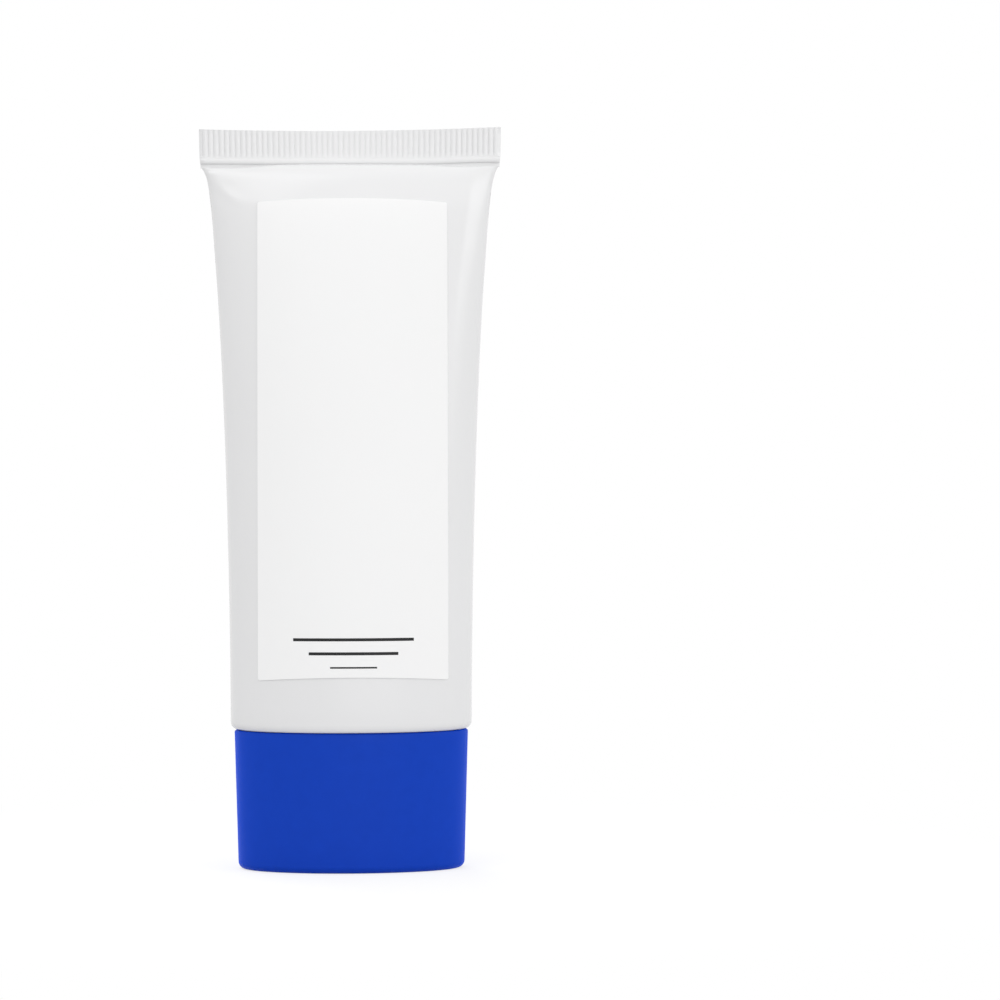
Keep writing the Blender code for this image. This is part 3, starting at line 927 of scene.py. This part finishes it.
# %% From coarse to fine columns
bead_end = last
rib_start = BEAD_TOP + BEAD_EASE
fine = ring_vertices(shape, strip_ring(FINE_COLUMNS, rib_start, lambda across: CRIMP_CREST, BEAD_END_HIGH))
side_coarse = COARSE_COLUMNS + 1
side_fine = FINE_COLUMNS + 1
for side in range(2):
    for column in range(COARSE_COLUMNS):
        low = [bead_end[side * side_coarse + column], bead_end[side * side_coarse + column + 1]]
        first = side * side_fine + column * FINE_PER_COARSE
        high = [fine[first + step] for step in range(FINE_PER_COARSE, -1, -1)]
        shape.faces.new(low + high)
for side in range(2):
    near, far = (side + 1) * side_coarse - 1, ((side + 1) * side_coarse) % len(bead_end)
    near_fine, far_fine = (side + 1) * side_fine - 1, ((side + 1) * side_fine) % len(fine)
    shape.faces.new((bead_end[near], bead_end[far], fine[far_fine], fine[near_fine]))

# %% Ribs and free edge
last = fine
for row in range(1, RIB_ROWS + 1):
    rise = row / RIB_ROWS
    z = rib_start + (CRIMP_TOP - rib_start) * rise
    strength = smooth_step(rise, *RIB_FADE_IN) * (1 - RIB_LOSS * smooth_step(rise, *RIB_FADE_OUT))

    def rib_at(across):
        shallow = 1 - RIB_SHALLOWING * bell(across, SHALLOW_WIDTH)
        sunk = (1 - rib_shape(across)) * shallow * strength
        return CRIMP_CREST - (CRIMP_CREST - CRIMP_VALLEY) * sunk

    narrow = BEAD_END_HIGH * (1 - rise)
    loop = ring_vertices(shape, strip_ring(FINE_COLUMNS, z, rib_at, narrow, rise))
    bridge(shape, last, loop)
    last = loop
for column in range(FINE_COLUMNS):
    back = len(last) - 1 - column
    shape.faces.new((last[column], last[column + 1], last[back - 1], last[back]))
sleeve = finish_mesh("sleeve_skin", shape, film, SLEEVE_SMOOTH_ANGLE)
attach(sleeve, "tube")
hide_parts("sleeve")

# %% [markdown]
# ## The label
# The label is a film of even thickness that follows the sleeve, so it is lofted from the same section
# law, a hair's breadth above it. Seen from the front its short sides bow up a little and its corners
# are rounded. It is a closed skin: front, back and a thin edge, because light catches the edge.

# %% Label
label_low, label_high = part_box("front_label")
SIDE_MARGIN = 0.16 * MM
END_MARGIN = 0.02 * MM
LABEL_HALF_WIDTH = label_high[0] - SIDE_MARGIN
LABEL_BOW = 0.6 * MM
LABEL_LIFT = 0.03 * MM
LABEL_THICKNESS = 0.13 * MM
LABEL_CORNER = 0.35 * MM
LABEL_SHIFT = 0.35 * MM
LABEL_COLUMNS = 60
LABEL_ROWS = 110
LABEL_FOOT = label_low[2] + END_MARGIN
LABEL_HEAD = label_high[2] - LABEL_BOW - END_MARGIN


def corner_inset(distance):
    """How far a rounded corner draws the side in, at a distance from the end."""
    if distance >= LABEL_CORNER:
        return 0.0
    return LABEL_CORNER - math.sqrt(max(LABEL_CORNER ** 2 - (LABEL_CORNER - distance) ** 2, 0.0))


def skin_depth(x, z, lift):
    """How far in front of the mid plane the sleeve's front lies, plus a lift off its surface."""
    half_width, half_depth = sleeve_section(z)
    across = x / half_width
    facing = (x / half_width ** 2, math.sqrt(1 - across * across) / half_depth)
    slant = facing[1] / math.hypot(*facing)
    return side_depth(across, z, half_depth) + front_relief(across, z) + lift / slant


def label_row(share, lift):
    height = LABEL_FOOT + (LABEL_HEAD - LABEL_FOOT) * share
    end = min(height - LABEL_FOOT, LABEL_HEAD - height)
    half = LABEL_HALF_WIDTH - corner_inset(end)
    row = []
    for column in range(LABEL_COLUMNS + 1):
        across = 2 * column / LABEL_COLUMNS - 1
        x = LABEL_SHIFT + across * half
        z = height + LABEL_BOW * (1 - across ** 2)
        row.append((x, -skin_depth(x, z, lift), z))
    return row


def end_crowded(step, steps):
    """Shares from 0 to 1 that crowd at both ends, so that the rounded corners get enough rows."""
    return 0.5 - 0.5 * math.cos(math.pi * step / steps)


shape = bmesh.new()
fronts, backs = [], []
for row in range(LABEL_ROWS + 1):
    share = end_crowded(row, LABEL_ROWS)
    fronts.append(ring_vertices(shape, label_row(share, LABEL_LIFT + LABEL_THICKNESS)))
    backs.append(ring_vertices(shape, label_row(share, LABEL_LIFT)))
for rows in (fronts, backs):
    for lower, upper in zip(rows, rows[1:]):
        for left in range(LABEL_COLUMNS):
            shape.faces.new((lower[left], lower[left + 1], upper[left + 1], upper[left]))
for row in range(LABEL_ROWS):
    for side in (0, -1):
        shape.faces.new((fronts[row][side], fronts[row + 1][side], backs[row + 1][side], backs[row][side]))
for left in range(LABEL_COLUMNS):
    for row in (0, -1):
        shape.faces.new((fronts[row][left], fronts[row][left + 1], backs[row][left + 1], backs[row][left]))
label = finish_mesh("label_skin", shape, label_film)
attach(label, "tube")
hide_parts("front_label")

# %% [markdown]
# ## The cap
# The outer cap is a plain oval cup, moulded with a little draft and a rounded end. A primitive would be
# too sharp at its rim, so the cup is a loft of ovals that runs down the outside, under the end, and
# back up the inside, with its rim and its inner corner rounded too. The rim stands a little higher than
# the solid's, because the real seam is a hairline.

# %% Cap shell
CAP_HALF_WIDTH, CAP_HALF_DEPTH, cap_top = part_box("cap_shell")[1]
RIM_RISE = 0.15 * MM
CAP_RIM = cap_top + RIM_RISE
CAP_DRAFT = 0.7 * MM
CAP_EDGE = 1.3 * MM
CAP_WALL = 1.3 * MM
RIM_ROUND = 0.35 * MM
INNER_ROUND = 1.0 * MM
EDGE_STEPS = 8
RIM_STEPS = 4
INNER_STEPS = 5
END_INSETS = (7.5 * MM, 5.0 * MM, 2.0 * MM)
OUTER_HEIGHTS = (5.0 * MM, 10.0 * MM, 15.0 * MM, 20.0 * MM, 23.0 * MM)
INNER_HEIGHTS = (20.0 * MM, 12.0 * MM, 6.0 * MM)
OVAL_POINTS = 192


def oval_ring(half_width, half_depth, z):
    angles = [math.tau * step / OVAL_POINTS for step in range(OVAL_POINTS)]
    return [(half_width * math.cos(a), half_depth * math.sin(a), z) for a in angles]


def cap_ring(inset, z):
    """Oval of the cap's outside at a height, drawn in by the draft and an inset."""
    draft = CAP_DRAFT * (1 - z / CAP_RIM)
    narrow = CAP_HALF_DEPTH / CAP_HALF_WIDTH
    return oval_ring(CAP_HALF_WIDTH - draft - inset, CAP_HALF_DEPTH - draft * narrow - inset, z)


def quarter(steps):
    """Angles of a quarter turn."""
    return [math.pi / 2 * step / steps for step in range(steps + 1)]


outline = [(inset, 0.0) for inset in END_INSETS]
outline += [(CAP_EDGE * (1 - math.sin(a)), CAP_EDGE * (1 - math.cos(a))) for a in quarter(EDGE_STEPS)]
outline += [(0.0, z) for z in OUTER_HEIGHTS]
rim = CAP_RIM - RIM_ROUND
outline += [(RIM_ROUND * (1 - math.cos(a)), rim + RIM_ROUND * math.sin(a)) for a in quarter(RIM_STEPS)]
inner = CAP_WALL - RIM_ROUND
outline += [(inner + RIM_ROUND * math.sin(a), rim + RIM_ROUND * math.cos(a)) for a in quarter(RIM_STEPS)]
outline += [(CAP_WALL, z) for z in INNER_HEIGHTS]
corner = CAP_WALL + INNER_ROUND
bends = quarter(INNER_STEPS)
outline += [(corner - INNER_ROUND * math.cos(a), corner - INNER_ROUND * math.sin(a)) for a in bends]
outline += [(END_INSETS[0], CAP_WALL)]
cap = finish_mesh("cap_cup", loft([cap_ring(inset, z) for inset, z in outline]), cap_blue)
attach(cap, "cap")
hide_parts("cap_shell")

# %% [markdown]
# ## The thread
# The cap screws on with a two-start thread, which gives 6 mm of travel for each turn. A thread needs no
# separate helix: on a turned surface it is a height that depends on one number, the height above the
# helix that passes through the point. The neck adds that height outwards and the socket inwards, half a
# pitch apart, so they mesh at every turn of the cap.

# %% Thread law
THREAD_LEAD = 6.0 * MM
THREAD_STARTS = 2
RIDGE_CREST = 0.30 * MM
RIDGE_BASE = 0.70 * MM
THREAD_FADE = 0.8 * MM


def thread_height(angle, z, phase, low, high):
    """0 in the valley to 1 on the crest, faded out towards both ends of the threaded stretch."""
    pitch = THREAD_LEAD / THREAD_STARTS
    along = (z - THREAD_LEAD * angle / math.tau + phase * pitch) % pitch
    away = min(along, pitch - along)
    ends = smooth_step(z, low, low + THREAD_FADE) * (1 - smooth_step(z, high - THREAD_FADE, high))
    return (1 - smooth_step(away, RIDGE_CREST, RIDGE_BASE)) * ends


def threaded_ring(radius, z, gain, phase, low, high):
    points = []
    for step in range(OVAL_POINTS):
        angle = math.tau * step / OVAL_POINTS
        r = radius + gain * thread_height(angle, z, phase, low, high)
        points.append((r * math.cos(angle), r * math.sin(angle), z))
    return points


# %% [markdown]
# ## Shoulder and neck
# The shoulder is an oval plate that holds the sleeve open, stepped down through the sleeve's lip, with
# the round neck under it and the orifice through both. All its rings have the same count of points, so
# one loft runs from oval to round, down the neck, and back up through the orifice.

# %% Shoulder head
head_low, head_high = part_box("shoulder_head")
foot_width, foot_depth = sleeve_section(SEAM)
PLATE_INSET = foot_width - head_high[0]
STEP_INSET = 3.3 * MM
PLATE_LOW = SEAM + 0.8 * MM
NECK_RADIUS = 6.0 * MM
COLLAR_RADIUS = 6.9 * MM
COLLAR_LOW = SEAM - 1.2 * MM
ORIFICE = 2.5 * MM
NECK_RIDGE = 0.55 * MM
NECK_EDGE = 0.5 * MM
EASE = 0.3 * MM
NECK_THREAD = (head_low[2] + 0.6 * MM, COLLAR_LOW - 0.2 * MM)
THREAD_ROWS = 64


def shoulder_oval(inset, z):
    return oval_ring(foot_width - inset, foot_depth - inset, z)


def round_ring(radius, z):
    return oval_ring(radius, radius, z)


def threaded_rows(radius, gain, phase, span):
    low, high = span
    heights = [low + (high - low) * row / THREAD_ROWS for row in range(THREAD_ROWS + 1)]
    return [threaded_ring(radius, z, gain, phase, low, high) for z in heights]


plate_high = head_high[2]
rings = [round_ring(ORIFICE, plate_high), shoulder_oval(PLATE_INSET + EASE, plate_high)]
rings += [shoulder_oval(PLATE_INSET, plate_high - EASE), shoulder_oval(PLATE_INSET, PLATE_LOW + EASE)]
rings += [shoulder_oval(PLATE_INSET + EASE, PLATE_LOW), shoulder_oval(STEP_INSET, PLATE_LOW)]
rings += [shoulder_oval(STEP_INSET, SEAM + EASE), shoulder_oval(STEP_INSET + EASE, SEAM)]
rings += [round_ring(COLLAR_RADIUS + EASE, SEAM), round_ring(COLLAR_RADIUS, SEAM - EASE)]
rings += [round_ring(COLLAR_RADIUS, COLLAR_LOW + EASE / 2)]
rings += [round_ring(COLLAR_RADIUS - EASE / 2, COLLAR_LOW), round_ring(NECK_RADIUS, COLLAR_LOW)]
rings += threaded_rows(NECK_RADIUS, NECK_RIDGE, 0.0, NECK_THREAD)[::-1]
neck_end = head_low[2]
rings += [round_ring(NECK_RADIUS, neck_end + NECK_EDGE), round_ring(NECK_RADIUS - NECK_EDGE, neck_end)]
rings += [round_ring(ORIFICE + EASE, neck_end), round_ring(ORIFICE, neck_end + EASE)]
head = finish_mesh("shoulder_and_neck", loft(rings, closed=True), moulding)
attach(head, "tube")
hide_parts("shoulder_head")

# %% [markdown]
# ## The screw socket
# The socket is a turned cup with the inner thread, standing on two crossed ribs that tie it to the
# cap's end and long sides. The ribs are separate boxes first, then a Boolean union joins them to the
# cup, and a small bevel takes the knife edge off.

# %% Screw socket
insert_low, insert_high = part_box("cap_insert")
BORE = 7.1 * MM
SOCKET_OUTER = 8.3 * MM
SOCKET_RIDGE = -0.85 * MM
WEB_LOW = 12.7 * MM
WEB_HIGH = 13.9 * MM
MOUTH = insert_high[2]
SOCKET_HEIGHTS = (15.0 * MM, 18.0 * MM, 21.0 * MM)
SOCKET_THREAD = (WEB_HIGH + 2.2 * MM, MOUTH - 0.5 * MM)
rings = [round_ring(SOCKET_OUTER - EASE, WEB_LOW), round_ring(SOCKET_OUTER, WEB_LOW + EASE)]
rings += [round_ring(SOCKET_OUTER, z) for z in SOCKET_HEIGHTS]
rings += [round_ring(SOCKET_OUTER, MOUTH - EASE), round_ring(SOCKET_OUTER - EASE, MOUTH)]
rings += [round_ring(BORE + EASE, MOUTH), round_ring(BORE, MOUTH - EASE)]
rings += threaded_rows(BORE, SOCKET_RIDGE, 0.5, SOCKET_THREAD)[::-1]
rings += [round_ring(BORE, WEB_HIGH + EASE), round_ring(BORE - EASE, WEB_HIGH)]
socket = finish_mesh("screw_socket", loft(rings), moulding)

# %% Cross ribs
CROSS_THICKNESS = 1.4 * MM
CROSS_BEVEL = 0.15 * MM
CROSS_OVERLAP = 0.5 * MM


def rib_box(name, size_x, size_y, low, high):
    """Upright rib with bevelled edges, ready to be joined to the socket."""
    shape = bmesh.new()
    bmesh.ops.create_cube(shape, size=1.0)
    place = Matrix.Translation((0.0, 0.0, (low + high) / 2))
    stretch = Matrix.Diagonal((size_x, size_y, high - low, 1.0))
    bmesh.ops.transform(shape, matrix=place @ stretch, verts=shape.verts[:])
    bmesh.ops.bevel(shape, geom=shape.edges[:], offset=CROSS_BEVEL, segments=2, affect="EDGES", profile=0.5)
    return finish_mesh(name, shape, moulding)


ribs_low = insert_low[2]
ribs_high = WEB_LOW + CROSS_OVERLAP
joiners = [
    rib_box("side_rib", 2 * insert_high[0], CROSS_THICKNESS, ribs_low, ribs_high),
    rib_box("front_rib", CROSS_THICKNESS, 2 * insert_high[1], ribs_low, ribs_high),
]
for joiner in joiners:
    union = socket.modifiers.new(joiner.name, "BOOLEAN")
    union.object = joiner
    union.operation = "UNION"
    union.solver = "EXACT"
ready = socket.evaluated_get(bpy.context.evaluated_depsgraph_get())
joined = bpy.data.meshes.new_from_object(ready)
socket.modifiers.clear()
socket.data = joined
joined.set_sharp_from_angle(angle=SMOOTH_ANGLE)
for joiner in joiners:
    bpy.data.objects.remove(joiner, do_unlink=True)
print("screw_socket with ribs:", len(joined.polygons), "faces")
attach(socket, "cap")
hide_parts("cap_insert")

# %% [markdown]
# ## The lotion
# Lotion is soft, so a plain block won't do. It fills the orifice and the lower part of the sleeve, a
# hair off the wall, and ends in an uneven top, as cream does after it was filled in from the open end:
# a low heap in the middle with a soft swirl around it.

# %% Lotion
lotion_low, lotion_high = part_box("lotion")
LOTION_GAP = 0.8 * MM
LOTION_COLUMN = 2.2 * MM
LOTION_FLOOR = PLATE_LOW + 2.3 * MM
LOTION_SIDE_ROWS = 24
LOTION_TOP_ROWS = 16
HEAP = 1.6 * MM
SWIRL = 0.25 * MM
SWIRL_TWIST = 9
TOP_MARGIN = 0.3 * MM


def lotion_ring(z, share=1.0):
    """Oval inside the sleeve; share draws it towards the middle for the rings of the top."""
    half_width, half_depth = sleeve_section(z)
    ring = oval_ring((half_width - LOTION_GAP) * share, (half_depth - LOTION_GAP) * share, z)
    if share == 1.0:
        return ring
    points = []
    for step, (x, y, height) in enumerate(ring):
        angle = math.tau * step / OVAL_POINTS
        swirl = SWIRL * math.sin(2 * angle + SWIRL_TWIST * share) * share * (1 - share) * 4
        points.append((x, y, height - HEAP * share ** 2 + swirl))
    return points


top = lotion_high[2] - TOP_MARGIN
rings = [round_ring(LOTION_COLUMN - EASE, lotion_low[2]), round_ring(LOTION_COLUMN, lotion_low[2] + EASE)]
rings += [round_ring(LOTION_COLUMN, LOTION_FLOOR)]
for row in range(LOTION_SIDE_ROWS + 1):
    rings.append(lotion_ring(LOTION_FLOOR + (top - HEAP - LOTION_FLOOR) * row / LOTION_SIDE_ROWS))
for row in range(1, LOTION_TOP_ROWS):
    share = 1.0 - row / LOTION_TOP_ROWS
    rings.append(lotion_ring(top, share))
lotion = finish_mesh("lotion_fill", loft(rings), cream)
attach(lotion, "tube")
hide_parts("lotion")

# %% [markdown]
# ## Pieces that stay as they are
# The foil and the foam wad have the right shape already. They only get their finishes, in the material
# slots of the frame's own objects.

# %% Finish the foil and the wad
for node_name, material in (("foil_seal", foil), ("cap_liner", foam)):
    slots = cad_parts[node_name].material_slots
    for slot in slots:
        slot.material = material
    print(node_name, "slots:", len(slots))

# %% [markdown]
# ## Box before and after
# The dressed tube is meant to stay within the frame. Both boxes are printed, lowest and highest corner, in
# millimetres.

# %% Print the boxes and finish
boxes = {
    "cad": [list(corner) for corner in cad_box],
    "visual": [list(corner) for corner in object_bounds()],
}
for name, (low, high) in boxes.items():
    print(name, [round(value / MM, 2) for value in low], [round(value / MM, 2) for value in high])
